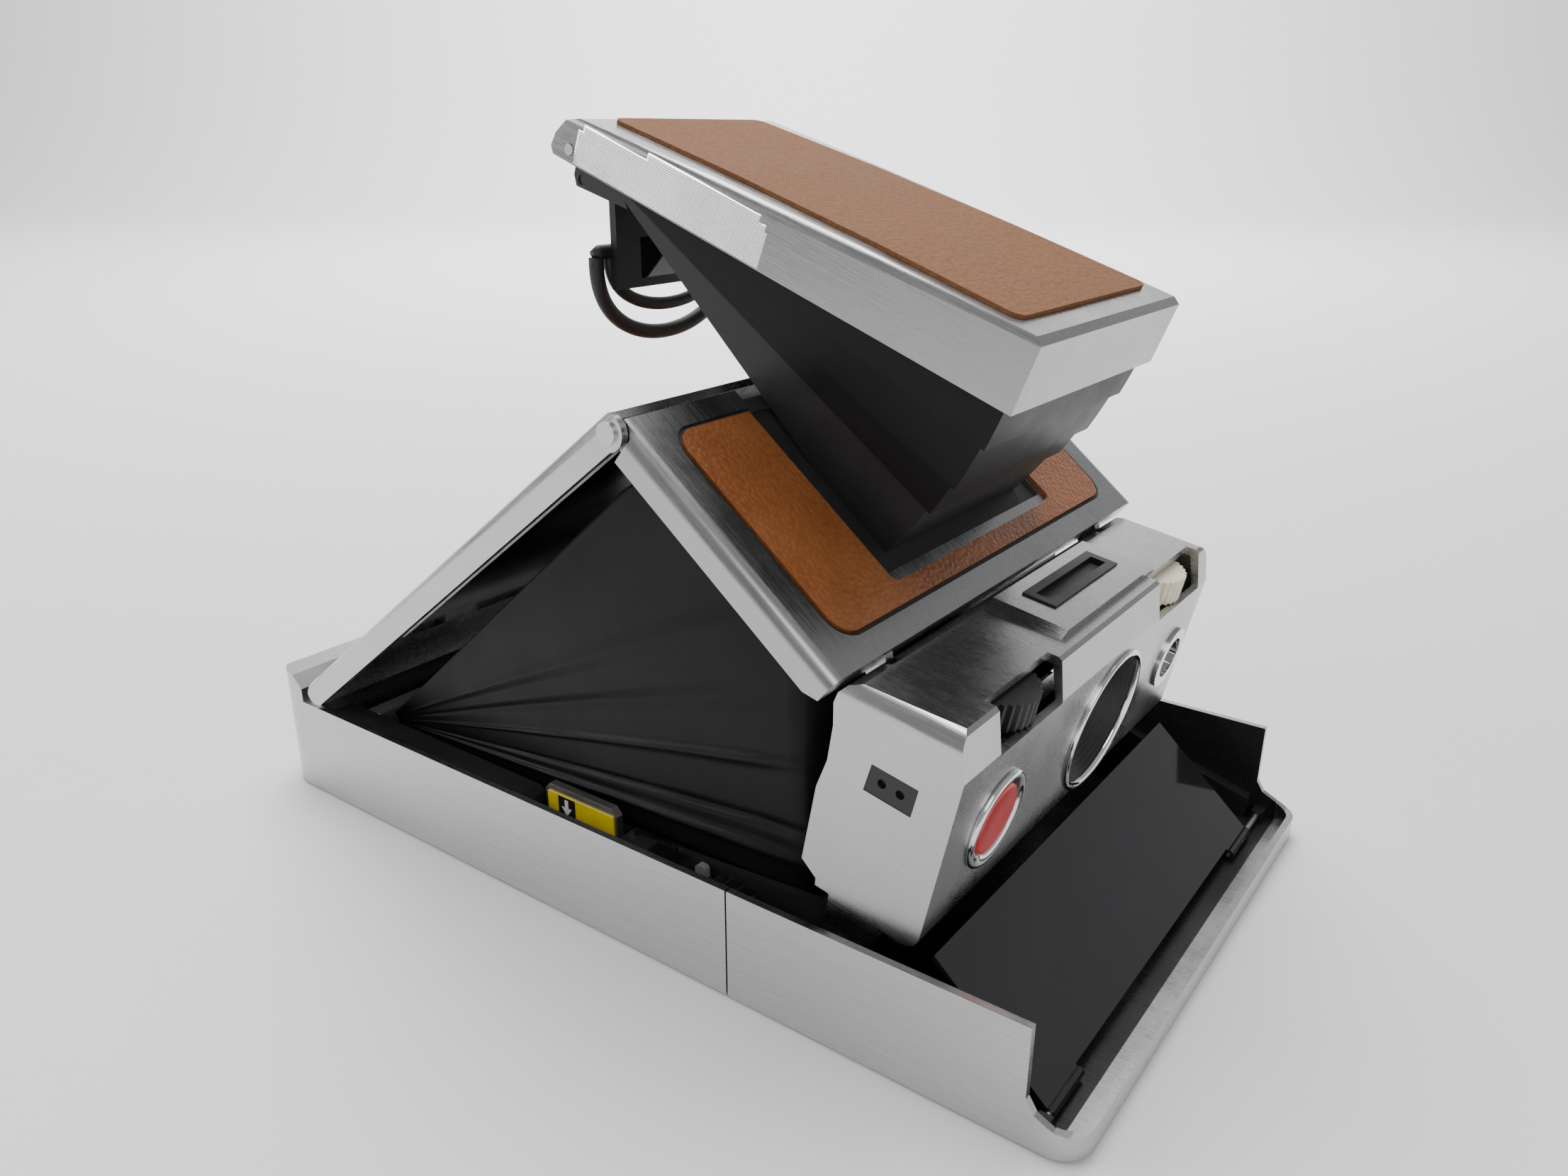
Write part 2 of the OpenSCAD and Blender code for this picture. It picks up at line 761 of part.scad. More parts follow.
module photocell_ring() {
  color("silver") on_face(cell_at) difference() {
    union() {
      cylinder(r = 6, h = ring_out);
      translate([0, 0, -2.4]) cylinder(r = 5, h = 2.5);
    }
    translate([0, 0, -1.4]) cylinder(r = 4, h = 4);
    translate([0, 0, -4]) cylinder(r = 2.5, h = 4);
  }
}

module photocell_lens() {
  color("gray") on_face(cell_at) translate([0, 0, -1.4]) cylinder(r = 4, h = 1.2);
}

// Ribbed thumb wheel standing in a notch of the brow, its axis along the front face
module thumb_wheel(y) {
  lens_frame() translate([wheel_axis, y, wheel_low]) difference() {
    cylinder(r = wheel_r, h = wheel_high - wheel_low);
    for (i = [0 : 35])
      rotate(i * 10) translate([wheel_r, 0, 2]) rotate(45) cube([0.7, 0.7, 20], center = true);
    translate([0, 0, -1]) cylinder(r = 1.5 + pin_play, h = 8);
  }
}

module focus_wheel() {
  color("black") thumb_wheel(focus_y);
}

module exposure_wheel() {
  color("ivory") thumb_wheel(exposure_y);
}

// Flash bar socket on the housing's hump
module flash_socket() {
  color("dimgray") top_frame() difference() {
    block([-13.2, -4.6, 0.3], [-7.3, 20.5, 1.8]);
    block([-11.6, -3, 0.8], [-8.9, 18.9, 4]);
  }
}

module remote_socket() {
  color("silver") difference() {
    span(-47.4, -46) polygon([[53, 46.8], [60.4, 45.2], [59.3, 40.7], [51.7, 42.4]]);
    for (at = [[54.6, 44.2], [57.5, 43.5]])
      bar(0.7, -48, -46.6, at);
  }
}

module housing_pins() {
  color("silver") for (side = [0, 1])
    mirror([0, side, 0]) {
      bar(0.9, 33, 41, housing_pivot);
      bar(1.5, 43.6, 47.4, [48.3, 16]);
    }
}

base_shell();
base_leather();
inner_frame();
tripod_bush();
counter_dial();
counter_window();
drive_motor();
motor_pinion();
drive_gear();
mirror_carrier();
viewing_mirror();
bellows();
frame_screws();
pick_arm();
battery_contacts();
door_latch();
latch_label();
support_strut();
door_shell();
door_leather();
door_liner();
roller_brackets();
lower_roller();
upper_roller();
front_panel();
panel_pins();
rear_cover();
rear_leather();
taking_mirror();
apex_pins();
front_cover();
front_leather();
viewfinder_frame();
lower_hood();
middle_hood();
upper_hood();
viewfinder_cap();
cap_leather();
cap_pins();
cap_mirror();
eyepiece_frame();
eyepiece_lens();
eyecup();
lens_housing();
housing_back();
lens_ring();
lens_glass();
shutter_button();
button_ring();
focus_wheel();
exposure_wheel();
photocell_ring();
photocell_lens();
flash_socket();
remote_socket();
housing_pins();
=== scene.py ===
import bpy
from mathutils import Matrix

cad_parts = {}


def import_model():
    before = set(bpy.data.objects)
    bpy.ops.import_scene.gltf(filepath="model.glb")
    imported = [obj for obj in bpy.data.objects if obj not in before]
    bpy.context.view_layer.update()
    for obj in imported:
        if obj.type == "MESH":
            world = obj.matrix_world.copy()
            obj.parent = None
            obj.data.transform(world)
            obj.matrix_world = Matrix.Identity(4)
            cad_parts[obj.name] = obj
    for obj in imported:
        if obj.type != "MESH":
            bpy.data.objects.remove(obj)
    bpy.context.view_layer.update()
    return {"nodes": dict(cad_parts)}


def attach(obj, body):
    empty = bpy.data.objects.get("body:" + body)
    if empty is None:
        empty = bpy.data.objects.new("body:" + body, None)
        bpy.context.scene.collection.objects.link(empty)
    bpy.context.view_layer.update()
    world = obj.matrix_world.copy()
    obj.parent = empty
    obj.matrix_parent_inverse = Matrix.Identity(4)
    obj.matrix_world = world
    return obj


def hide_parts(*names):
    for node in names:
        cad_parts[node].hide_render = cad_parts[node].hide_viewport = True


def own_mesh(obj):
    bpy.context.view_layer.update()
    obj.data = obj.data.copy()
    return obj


bl_info = {
    "name": "Folding Instant Camera",
    "version": (1, 0, 0),
    "blender": (4, 5, 0),
    "location": "View3D > Sidebar > Camera",
    "description": "Builds a folding instant camera, erected on its base, with its studio",
    "category": "Object",
}

import math

import bmesh
import bpy
from bpy.props import FloatProperty, FloatVectorProperty, PointerProperty
from mathutils import Matrix, Vector

MM = 0.001
FRAME = None

# ---------------------------------------------------------------- places


def place(x, z, slope=0.0, y=0.0):
    """A frame at (x, y, z) in millimetres whose X axis runs down at the given slope."""
    turn = Matrix.Rotation(math.radians(slope), 4, "Y")
    return Matrix.Translation(Vector((x, y, z)) * MM) @ turn


# Slopes in degrees, and the frames that the sloping pieces are built in
REAR_SLOPE, FRONT_SLOPE, CAP_SLOPE, FACE_SLOPE = -37.52, 39.0, 20.9, 11.75
REAR = place(-73.2, 22.8, REAR_SLOPE)
FRONT = place(10.8, 87.3, FRONT_SLOPE)
CAP = place(-20.4, 124.1, CAP_SLOPE)
FACE = place(61.3, 20.8, FACE_SLOPE)

# Painted-shade strips in the leather grooves: the rear cover's length, the strip's underside and
# thickness, corner radius
REAR_LEN = math.hypot(10.8 + 73.2, 87.3 - 22.8)
GROOVE_LOW = 2.38
GROOVE_RISE = 0.15
GROOVE_CORNER = 4.5

# Bellows, in millimetres: the corner its creases run from, the edge they run to, half its width
BELLOWS_CORNER = (-63.5, 16.5)
BELLOWS_EDGE = [(39.2, 17.0), (39.4, 30.0), (38.4, 56.3), (14.0, 77.3), (10.0, 79.6), (4.0, 75.6)]
BELLOWS_HALF = 42.6

# Centres across the face, in millimetres, and how far each stands out of it
LENS_Y, LENS_OUT = 8, 13.6
BUTTON_Y, BUTTON_OUT = -31.5, 14

# Grip ribs: distance from the middle to a rib's foot and crest, and where the lowest rib starts
GRIP_HALF, GRIP_CREST, GRIP_LOW = 25.6, 25.9, -1.7

# Eyecup: middle of its width, and height of the arches' ends
EYECUP_Y, EYECUP_TOP = 1, 106.5

# Studio, in metres: floor level, where the sweep starts to rise, its radius, and its directions
FLOOR_LEVEL = -0.00002
SWEEP_START, SWEEP_RADIUS, SWEEP_STEPS, SWEEP_HALF = 1.7, 0.7, 24, 4
SWEEP_AHEAD, SWEEP_ACROSS = (-0.591, 0.807, 0), (0.807, 0.591, 0)

# The view: its place in millimetres and the camera's three axes
VIEW_AT = (128.532, -170.769, 126.839)
VIEW_AXES = (
    (0.80632425, 0.5914718, 0.00151649),
    (-0.2106851, 0.28481895, 0.93514168),
    (0.55267801, -0.75434692, 0.35427072),
)


def on_face(y, h, out=0.0):
    """A frame on the lens housing's face, its Z axis pointing out of the face."""
    turn = Matrix.Rotation(math.radians(90), 4, "Y")
    return FACE @ Matrix.Translation(Vector((out, y, h)) * MM) @ turn


# ---------------------------------------------------------------- meshes


def solid(name, verts, faces, material, smooth=False, matrix=None):
    """A mesh object from vertices in millimetres, with its place in its mesh."""
    matrix = matrix or Matrix.Identity(4)
    mesh = bpy.data.meshes.new(name)
    mesh.from_pydata([matrix @ (Vector(v) * MM) for v in verts], [], faces)
    bm = bmesh.new()
    bm.from_mesh(mesh)
    bmesh.ops.recalc_face_normals(bm, faces=bm.faces)
    bm.to_mesh(mesh)
    bm.free()
    mesh.update()
    if smooth:
        mesh.polygons.foreach_set("use_smooth", [True] * len(mesh.polygons))
    obj = bpy.data.objects.new(name, mesh)
    bpy.context.scene.collection.objects.link(obj)
    obj.data.materials.append(material)
    return obj


def bevel(obj, width, segments=2, angle=35.0):
    """Rounds an object's edges with a live modifier."""
    mod = obj.modifiers.new("Bevel", "BEVEL")
    mod.width = width * MM
    mod.segments = segments
    mod.limit_method = "ANGLE"
    mod.angle_limit = math.radians(angle)
    mod.harden_normals = False
    return obj


def span(name, outline, y0, y1, material, matrix=None, width=0.0):
    """A prism across the camera on an outline of (x, z), from y0 to y1."""
    n = len(outline)
    verts = [(x, y0, z) for x, z in outline] + [(x, y1, z) for x, z in outline]
    faces = [list(range(n)), list(range(n, 2 * n))[::-1]]
    faces += [[i, (i + 1) % n, n + (i + 1) % n, n + i] for i in range(n)]
    obj = solid(name, verts, faces, material, matrix=matrix)
    return bevel(obj, width) if width else obj


def lathe(name, profile, material, matrix=None, steps=96):
    """A closed turned body; its profile is a loop of (radius, height) that stays off the axis."""
    verts, faces, n = [], [], len(profile)
    for i in range(steps):
        a = 2 * math.pi * i / steps
        verts += [(r * math.cos(a), r * math.sin(a), h) for r, h in profile]
    for i in range(steps):
        j = (i + 1) % steps
        faces += [
            [i * n + k, j * n + k, j * n + (k + 1) % n, i * n + (k + 1) % n] for k in range(n)
        ]
    return solid(name, verts, faces, material, smooth=True, matrix=matrix)


def dome(name, profile, material, matrix=None, steps=72):
    """A turned body whose profile starts and ends on the axis."""
    verts, faces, n = [(0, 0, profile[0][1]), (0, 0, profile[-1][1])], [], len(profile) - 2
    for i in range(steps):
        a = 2 * math.pi * i / steps
        verts += [(r * math.cos(a), r * math.sin(a), h) for r, h in profile[1:-1]]
    for i in range(steps):
        j = (i + 1) % steps
        faces.append([0, 2 + j * n, 2 + i * n])
        faces.append([1, 2 + i * n + n - 1, 2 + j * n + n - 1])
        faces += [
            [2 + i * n + k, 2 + j * n + k, 2 + j * n + k + 1, 2 + i * n + k + 1]
            for k in range(n - 1)
        ]
    return solid(name, verts, faces, material, smooth=True, matrix=matrix)


def tube(name, path, rx, ry, material, matrix=None, closed=False, steps=14):
    """A bar of oval section along a path: rx in the plane of its bends, ry across it."""
    pts = [Vector(p) for p in path]
    n = len(pts)
    verts, faces = [], []
    side = Vector((1, 0, 0))
    for i, p in enumerate(pts):
        a = pts[i - 1] if (i or closed) else p
        b = pts[(i + 1) % n] if (i < n - 1 or closed) else p
        along = (b - a).normalized()
        across = along.cross(side).normalized()
        for k in range(steps):
            t = 2 * math.pi * k / steps
            verts.append(tuple(p + across * (rx * math.cos(t)) + side * (ry * math.sin(t))))
    for i in range(n if closed else n - 1):
        j = (i + 1) % n
        for k in range(steps):
            m = (k + 1) % steps
            faces.append([i * steps + k, i * steps + m, j * steps + m, j * steps + k])
    if not closed:
        faces.append(list(range(steps))[::-1])
        faces.append([(n - 1) * steps + k for k in range(steps)])
    return solid(name, verts, faces, material, smooth=True, matrix=matrix)


def rounded(points, radii, steps=8):
    """An outline with its corners rounded; radii has one radius for each corner."""
    out, n = [], len(points)
    for i, p in enumerate(points):
        p, a, b, r = Vector(p), Vector(points[i - 1]), Vector(points[(i + 1) % n]), radii[i]
        if not r:
            out.append(tuple(p))
            continue
        u, v = (a - p).normalized(), (b - p).normalized()
        half = math.acos(max(-1, min(1, u.dot(v)))) / 2
        cut = r / math.tan(half)
        centre = p + (u + v).normalized() * (r / math.sin(half))
        start, end = p + u * cut - centre, p + v * cut - centre
        turn = start.angle_signed(end)
        for k in range(steps + 1):
            t = -turn * k / steps
            c, s = math.cos(t), math.sin(t)
            x = centre.x + start.x * c - start.y * s
            out.append((x, centre.y + start.x * s + start.y * c))
    return out


def frame_strip(name, outer, inner, low, high, material, matrix=None):
    """A closed strip between two outlines with equal point counts."""
    n = len(outer)
    verts = [(x, y, z) for ring in (outer, inner) for z in (low, high) for x, y in ring]
    faces = []
    for i in range(n):
        j = (i + 1) % n
        faces += [[i, j, n + j, n + i], [2 * n + i, 3 * n + i, 3 * n + j, 2 * n + j],
                  [n + i, n + j, 3 * n + j, 3 * n + i], [i, 2 * n + i, 2 * n + j, j]]
    return solid(name, verts, faces, material, matrix=matrix)


def ride(obj, body):
    """Puts a piece on a CAD body."""
    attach(obj, body)
    return obj


# ---------------------------------------------------------------- materials


def shader(name):
    """A new material with its Principled node and object coordinates."""
    mat = bpy.data.materials.new(name)
    mat.use_nodes = True
    tree = mat.node_tree
    bsdf = tree.nodes["Principled BSDF"]
    coord = tree.nodes.new("ShaderNodeTexCoord")
    return mat, tree, bsdf, coord.outputs["Object"]


def turned(tree, coord, slope):
    """Object coordinates turned level with a piece that runs down at a slope."""
    mapping = tree.nodes.new("ShaderNodeMapping")
    mapping.inputs["Rotation"].default_value = (0, math.radians(-slope), 0)
    tree.links.new(coord, mapping.inputs["Vector"])
    return mapping.outputs["Vector"]


def inside(tree, coord, low, high):
    """1 where the object coordinates lie in a box given in millimetres, 0 elsewhere."""
    split = tree.nodes.new("ShaderNodeSeparateXYZ")
    tree.links.new(coord, split.inputs[0])
    result = None
    for axis in range(3):
        for bound, operation in ((low[axis], "GREATER_THAN"), (high[axis], "LESS_THAN")):
            test = tree.nodes.new("ShaderNodeMath")
            test.operation = operation
            test.inputs[1].default_value = bound * MM
            tree.links.new(split.outputs[axis], test.inputs[0])
            if result is None:
                result = test.outputs[0]
                continue
            both = tree.nodes.new("ShaderNodeMath")
            both.operation = "MULTIPLY"
            tree.links.new(result, both.inputs[0])
            tree.links.new(test.outputs[0], both.inputs[1])
            result = both.outputs[0]
    return result


def noise(tree, coord, scale, stretch=(1, 1, 1), detail=3.0, rough=0.5):
    """A noise pattern on object coordinates, stretched along the axes."""
    mapping = tree.nodes.new("ShaderNodeMapping")
    mapping.inputs["Scale"].default_value = stretch
    node = tree.nodes.new("ShaderNodeTexNoise")
    node.inputs["Scale"].default_value = scale
    node.inputs["Detail"].default_value = detail
    node.inputs["Roughness"].default_value = rough
    tree.links.new(coord, mapping.inputs["Vector"])
    tree.links.new(mapping.outputs["Vector"], node.inputs["Vector"])
    return node.outputs["Fac"]


def ramp(tree, value, stops):
    """A colour ramp through (position, colour) stops."""
    node = tree.nodes.new("ShaderNodeValToRGB")
    while len(node.color_ramp.elements) < len(stops):
        node.color_ramp.elements.new(0.5)
    for element, (at, colour) in zip(node.color_ramp.elements, stops):
        element.position = at
        element.color = (*colour, 1)
    tree.links.new(value, node.inputs["Fac"])
    return node.outputs["Color"]


def remap(tree, value, low, high, start=0.0, end=1.0):
    """A value mapped from start..end to low..high."""
    node = tree.nodes.new("ShaderNodeMapRange")
    for key, v in (("From Min", start), ("From Max", end), ("To Min", low), ("To Max", high)):
        node.inputs[key].default_value = v
    tree.links.new(value, node.inputs["Value"])
    return node.outputs["Result"]


def bump(tree, bsdf, height, distance, strength=1.0, after=None):
    """Raises the surface by a pattern."""
    node = tree.nodes.new("ShaderNodeBump")
    node.inputs["Distance"].default_value = distance * MM
    node.inputs["Strength"].default_value = strength
    tree.links.new(height, node.inputs["Height"])
    if after:
        tree.links.new(after, node.inputs["Normal"])
    tree.links.new(node.outputs["Normal"], bsdf.inputs["Normal"])
    return node.outputs["Normal"]


def metal(name, colour, rough=0.3, stretch=(0.02, 1, 1), grain=0.012, slope=0.0, black=None):
    """Brushed metal: streaks along a slope, faint smudges, and black paint inside a box."""
    mat, tree, bsdf, coord = shader(name)
    raw = coord
    coord = turned(tree, coord, slope)
    bsdf.inputs["Metallic"].default_value = 1.0
    streaks = noise(tree, coord, 5200, stretch, 4.0, 0.6)
    smudge = noise(tree, coord, 60, (1, 1, 1), 4.0, 0.6)
    low, high = [c * 0.93 for c in colour], [min(1.0, c * 1.05) for c in colour]
    tone = ramp(tree, streaks, [(0.3, low), (0.7, high)])
    if black:
        paint = inside(tree, raw, *black)
        shade = tree.nodes.new("ShaderNodeMix")
        shade.data_type = "RGBA"
        shade.inputs["B"].default_value = (0.013, 0.013, 0.014, 1)
        tree.links.new(paint, shade.inputs["Factor"])
        tree.links.new(tone, shade.inputs["A"])
        tone = shade.outputs["Result"]
        tree.links.new(remap(tree, paint, 1.0, 0.0), bsdf.inputs["Metallic"])
    tree.links.new(tone, bsdf.inputs["Base Color"])
    mix = tree.nodes.new("ShaderNodeMath")
    mix.operation = "ADD"
    tree.links.new(remap(tree, smudge, rough - 0.05, rough + 0.07, 0.3, 0.7), mix.inputs[0])
    tree.links.new(remap(tree, streaks, -0.05, 0.05, 0.3, 0.7), mix.inputs[1])
    tree.links.new(mix.outputs[0], bsdf.inputs["Roughness"])
    bump(tree, bsdf, streaks, grain)
    return mat


def plain(name, colour, rough=0.4, metallic=0.0, grain=0.0, scale=1800, coat=0.0, vary=0.12,
          shine=0.5):
    """A smooth finish with a faint grain and uneven sheen."""
    mat, tree, bsdf, coord = shader(name)
    bsdf.inputs["Metallic"].default_value = metallic
    bsdf.inputs["Specular IOR Level"].default_value = shine
    bsdf.inputs["Coat Weight"].default_value = coat
    bsdf.inputs["Coat Roughness"].default_value = 0.06
    cloud = noise(tree, coord, 110, (1, 1, 1), 4.0, 0.6)
    low, high = [c * (1 - vary) for c in colour], [min(1.0, c * (1 + vary)) for c in colour]
    tree.links.new(ramp(tree, cloud, [(0.3, low), (0.7, high)]), bsdf.inputs["Base Color"])
    uneven = remap(tree, cloud, max(0.02, rough - 0.05), rough + 0.06, 0.3, 0.7)
    tree.links.new(uneven, bsdf.inputs["Roughness"])
    if grain:
        bump(tree, bsdf, noise(tree, coord, scale, (1, 1, 1), 2.0, 0.5), grain)
    return mat


def leather(name, dark, light, rough=0.42, grain=0.16, coat=0.0, shine=0.5):
    """Tanned leather: small pebbled cells, wandering tone and faint scuffs."""
    mat, tree, bsdf, coord = shader(name)
    bsdf.inputs["Specular IOR Level"].default_value = shine
    bsdf.inputs["Coat Weight"].default_value = coat
    bsdf.inputs["Coat Roughness"].default_value = 0.22
    tone = noise(tree, coord, 45, (1, 1, 1), 5.0, 0.6)
    cells = tree.nodes.new("ShaderNodeTexVoronoi")
    cells.feature = "SMOOTH_F1"
    cells.inputs["Scale"].default_value = 1250
    cells.inputs["Smoothness"].default_value = 0.6
    tree.links.new(coord, cells.inputs["Vector"])
    base = ramp(tree, tone, [(0.2, dark), (0.8, light)])
    shade = tree.nodes.new("ShaderNodeMix")
    shade.data_type = "RGBA"
    shade.blend_type = "MULTIPLY"
    shade.inputs["Factor"].default_value = 0.55
    tree.links.new(base, shade.inputs["A"])
    seams = ramp(tree, cells.outputs["Distance"], [(0.0, (1, 1, 1)), (0.75, (0.62, 0.55, 0.5))])
    tree.links.new(seams, shade.inputs["B"])
    tree.links.new(shade.outputs["Result"], bsdf.inputs["Base Color"])
    tree.links.new(remap(tree, tone, rough - 0.07, rough + 0.1, 0.3, 0.7), bsdf.inputs["Roughness"])
    flip = remap(tree, cells.outputs["Distance"], 1.0, 0.0, 0.0, 0.8)
    waves = noise(tree, coord, 260, (1, 1, 1), 3.0, 0.5)
    first = bump(tree, bsdf, waves, grain * 1.2, 0.6)
    bump(tree, bsdf, flip, grain, 0.8, first)
    return mat


def glass(name, colour, rough=0.03):
    """Coated dark glass."""
    mat, tree, bsdf, coord = shader(name)
    cloud = noise(tree, coord, 90, (1, 1, 1), 2.0, 0.5)
    high = [min(1.0, c * 1.3) for c in colour]
    tree.links.new(ramp(tree, cloud, [(0.3, colour), (0.7, high)]), bsdf.inputs["Base Color"])
    bsdf.inputs["Roughness"].default_value = rough
    bsdf.inputs["Coat Weight"].default_value = 1.0
    bsdf.inputs["Coat Roughness"].default_value = 0.02
    bsdf.inputs["IOR"].default_value = 1.6
    return mat


MAT = {}


def make_materials():
    """Builds every finish once."""
    tone = (0.52, 0.52, 0.515)
    for key, x0, x1 in (("base", -70, 31), ("door", 30, 85)):
        walls = ((x0, -50.9, 1.0), (x1, 50.9, 19.6))
        MAT["metal_" + key] = metal(key.title() + " metal", tone, 0.27, black=walls)
    # Painted shade: the base metal's tone times share, 0.8 on the front cover and cap and 0.94 on
    # the lens housing, so one metal comes in lit and shaded copies
    for key, slope, share in (
        ("rear", REAR_SLOPE, 1.0),
        ("front", FRONT_SLOPE, 0.8),
        ("cap", CAP_SLOPE, 0.8),
        ("face", FACE_SLOPE, 0.94),
    ):
        painted_shade_tone = tuple(c * share for c in tone)
        MAT["metal_" + key] = metal(key.title() + " metal", painted_shade_tone, 0.26, slope=slope)
    MAT["metal_fine"] = metal("Fine metal", (0.9, 0.9, 0.895), 0.2, (1, 0.02, 1), 0.006)
    MAT["metal_dull"] = metal("Dull metal", (0.5, 0.49, 0.47), 0.38, (0.05, 1, 1), 0.03)
    MAT["steel"] = metal("Plain steel", (0.6, 0.6, 0.6), 0.32, (1, 0.05, 1), 0.01)
    MAT["chrome"] = plain("Chrome", (0.82, 0.82, 0.82), 0.08, 1.0)
    MAT["brass"] = metal("Brass", (0.8, 0.6, 0.28), 0.32)
    MAT["leather_front"] = leather(
        "Front leather", (0.185, 0.06, 0.017), (0.3, 0.104, 0.029), 0.34, 0.16, 0.35)
    MAT["leather_cap"] = leather(
        "Cap leather", (0.21, 0.094, 0.042), (0.29, 0.135, 0.062), 0.68, shine=0.16)
    # Painted shade: a near-black finish for the strips that stand for the shade in the grooves
    # round the leather
    MAT["leather_edge"] = plain("Painted groove shade", (0.018, 0.014, 0.012), 0.6, 0.0, 0.05)
    MAT["gloss"] = plain("Gloss black", (0.012, 0.012, 0.013), 0.09, 0.0, 0.0, 900, 0.6)
    MAT["black"] = plain("Matte black", (0.014, 0.014, 0.015), 0.48, 0.0, 0.02)
    MAT["satin"] = plain("Satin black", (0.007, 0.007, 0.0075), 0.4, 0.0, 0.012, shine=0.22)
    MAT["rubber"] = plain(
        "Bellows rubber", (0.008, 0.0078, 0.0078), 0.42, 0.0, 0.03, 700, shine=0.16)
    MAT["soft"] = plain("Soft rubber", (0.02, 0.02, 0.021), 0.55, 0.0, 0.03)
    MAT["red"] = plain("Red", (0.52, 0.012, 0.014), 0.3, 0.0, 0.0, 900, 0.3)
    MAT["ivory"] = plain("Ivory", (0.72, 0.68, 0.52), 0.42, 0.0, 0.01)
    MAT["yellow"] = plain("Yellow", (0.88, 0.66, 0.02), 0.4)
    MAT["white"] = plain("White", (0.85, 0.85, 0.83), 0.45)
    MAT["mirror"] = plain("Mirror", (0.9, 0.9, 0.9), 0.03, 1.0)
    MAT["glass"] = glass("Coated glass", (0.01, 0.012, 0.02))
    MAT["grey"] = plain("Grey plastic", (0.2, 0.2, 0.2), 0.45, 0.0, 0.02)


NODE_FINISH = {
    "metal_base": "base_shell",
    "metal_door": "door_shell",
    "metal_rear": "rear_cover",
    "metal_front": "front_cover",
    "metal_cap": "viewfinder_cap",
    "metal_face": "lens_housing",
    "leather_front": "base_leather door_leather rear_leather front_leather",
    "leather_cap": "cap_leather",
    "steel": "tripod_bush frame_screws pick_arm support_strut roller_brackets lower_roller "
             "upper_roller panel_pins apex_pins cap_pins housing_pins drive_motor",
    "metal_dull": "door_latch",
    "brass": "battery_contacts motor_pinion",
    "black": "inner_frame viewfinder_frame housing_back door_liner mirror_carrier "
             "eyepiece_frame flash_socket remote_socket drive_gear focus_wheel",
    "satin": "lower_hood middle_hood upper_hood",
    "gloss": "front_panel",
    "rubber": "bellows",
    "soft": "eyecup",
    "chrome": "lens_ring button_ring photocell_ring",
    "mirror": "taking_mirror viewing_mirror cap_mirror",
    "glass": "lens_glass photocell_lens eyepiece_lens counter_window",
    "white": "counter_dial",
    "yellow": "latch_label",
    "red": "shutter_button",
    "ivory": "exposure_wheel",
}
NODE_BEVEL = {
    "base_shell": 0.35, "door_shell": 0.35, "rear_cover": 0.5, "front_cover": 0.6,
    "viewfinder_cap": 0.9, "lens_housing": 0.5, "front_leather": 0.35, "cap_leather": 0.3,
    "rear_leather": 0.3, "inner_frame": 0.25, "door_latch": 0.35, "door_liner": 0.3,
    "front_panel": 0.15, "eyepiece_frame": 0.3, "flash_socket": 0.15, "remote_socket": 0.12,
    "button_ring": 0.2, "photocell_ring": 0.2, "shutter_button": 0.2, "viewfinder_frame": 0.12,
    "lower_hood": 0.15, "middle_hood": 0.15, "upper_hood": 0.15,
}


def finish_cad():
    """Gives every carried-over CAD piece its finish and softens its edges."""
    nodes = FRAME["nodes"]
    for finish, names in NODE_FINISH.items():
        for name in names.split():
            obj = nodes[name]
            obj.data.materials.clear()
            obj.data.materials.append(MAT[finish])
            if name in NODE_BEVEL:
                bevel(obj, NODE_BEVEL[name], 3)


# ---------------------------------------------------------------- settings


class CameraShape(bpy.types.PropertyGroup):
    """Sizes of the pieces that are made here"""

    rib_pitch: FloatProperty(
        name="Rib pitch", description="Distance between ribs", default=0.00034, unit="LENGTH")
    crease_depth: FloatProperty(
        name="Crease depth", description="Depth of the bellows' creases", default=0.0011,
        unit="LENGTH")
    groove: FloatProperty(
        name="Groove", description="Width of the dark groove round the leather", default=0.0007,
        unit="LENGTH")


class StageLook(bpy.types.PropertyGroup):
    """The floor, the light and the camera"""

    floor_colour: FloatVectorProperty(
        name="Floor", description="Colour of the floor", default=(0.88, 0.88, 0.885),
        subtype="COLOR")
    key_power: FloatProperty(
        name="Key light", description="Power of the main light", default=13.0, unit="POWER")
    focal_length: FloatProperty(
        name="Focal length", description="Focal length on a 36 mm sensor, in millimetres",
        default=27.666)


# ---------------------------------------------------------------- pieces


def bellows_outline(angle):
    """Distance from the bellows' rear corner to its edge, along a ray at that angle."""
    ox, oz = BELLOWS_CORNER
    dx, dz = math.cos(angle), math.sin(angle)
    best = None
    for (ax, az), (bx, bz) in zip(BELLOWS_EDGE, BELLOWS_EDGE[1:]):
        ex, ez = bx - ax, bz - az
        det = dx * ez - dz * ex
        if abs(det) < 1e-9:
            continue
        t = ((ax - ox) * ez - (az - oz) * ex) / det
        s = ((ax - ox) * dz - (az - oz) * dx) / det
        if -1e-6 <= s <= 1 + 1e-6 and t > 0:
            best = t if best is None else min(best, t)
    return best


def crease(angle_deg, share, seed):
    """How far the bellows' side stands in or out, in units of the crease depth."""
    lines = [
        (3.2, 1.0, 0.8), (7.4, -0.8, 0.7), (11.8, 0.9, 0.9), (19.0, -0.5, 1.6), (27.0, 0.5, 2.0),
    ]
    out = 0.0
    for at, height, width in lines:
        at = at + seed * 1.3 * math.sin(at)
        out += height * max(0.0, 1 - abs(angle_deg - at - 1.8 * (1 - share)) / width)
    out += 0.35 * math.sin(share * 5.0 + angle_deg * 0.21 + seed) * share
    return out * min(1.0, share * 2.2) * min(1.0, (1.02 - share) * 9)


